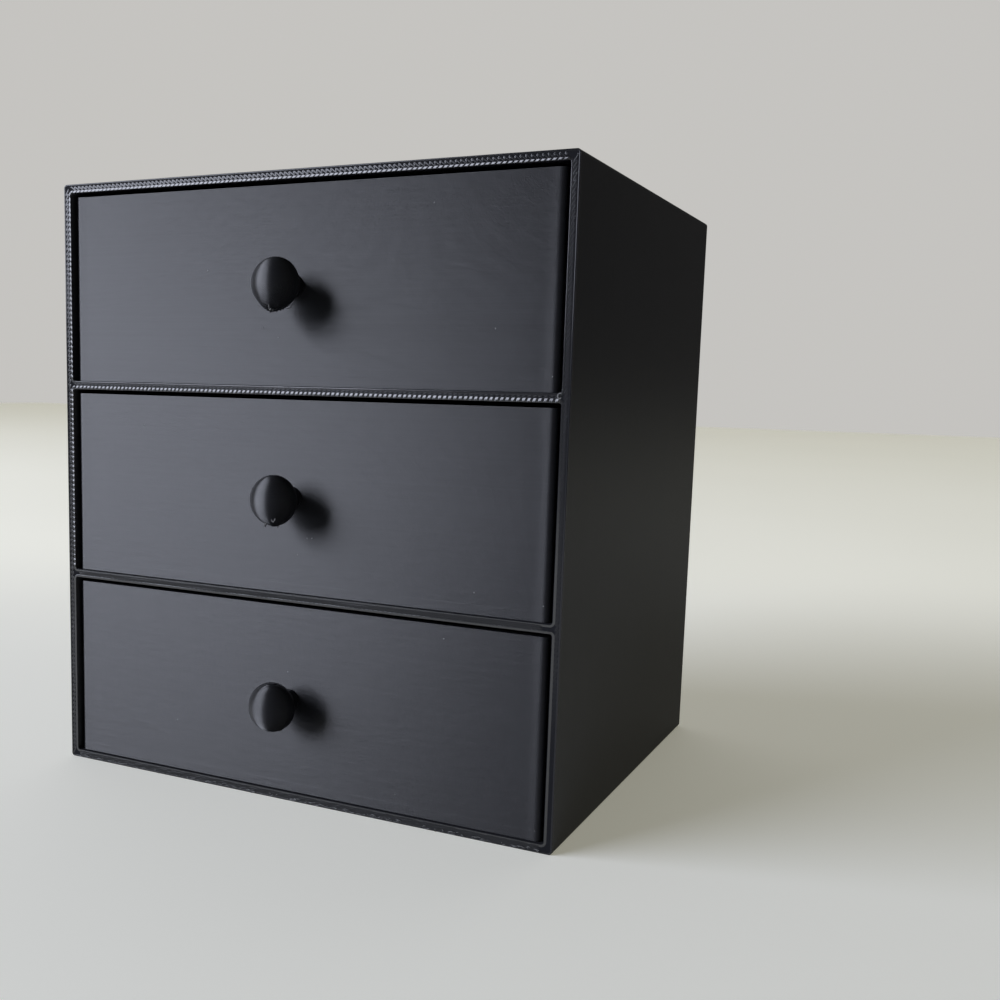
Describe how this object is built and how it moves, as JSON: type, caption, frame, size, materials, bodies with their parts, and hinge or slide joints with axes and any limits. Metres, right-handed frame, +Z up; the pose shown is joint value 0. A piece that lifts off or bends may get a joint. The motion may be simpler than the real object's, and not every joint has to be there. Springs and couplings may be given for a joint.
{
  "type": "drawer storage box",
  "caption": "Desk storage box: a plain open-fronted housing with stacked trays that slide straight out, each pulled by a small ball knob.",
  "frame": {"origin": "middle of the housing's footprint, on the surface that the box stands on", "axes": "+Z up, -Y out of the front (the drawers open that way), +X to the right of someone facing the front"},
  "size_m": [0.128, 0.119, 0.14],
  "materials": {
    "charcoal_plastic": "satin printed plastic with fine layer lines"
  },
  "bodies": {
    "housing": {"housing": "charcoal_plastic"},
    "bottom_drawer": {"bottom_drawer": "charcoal_plastic"},
    "middle_drawer": {"middle_drawer": "charcoal_plastic"},
    "top_drawer": {"top_drawer": "charcoal_plastic"}
  },
  "joints": [
    {"name": "bottom_drawer_slide", "type": "slide", "parent": "housing", "child": "bottom_drawer", "axis": [0, -1, 0], "range_m": [0, 0.085]},
    {"name": "middle_drawer_slide", "type": "slide", "parent": "housing", "child": "middle_drawer", "axis": [0, -1, 0], "range_m": [0, 0.085]},
    {"name": "top_drawer_slide", "type": "slide", "parent": "housing", "child": "top_drawer", "axis": [0, -1, 0], "range_m": [0, 0.085]}
  ]
}
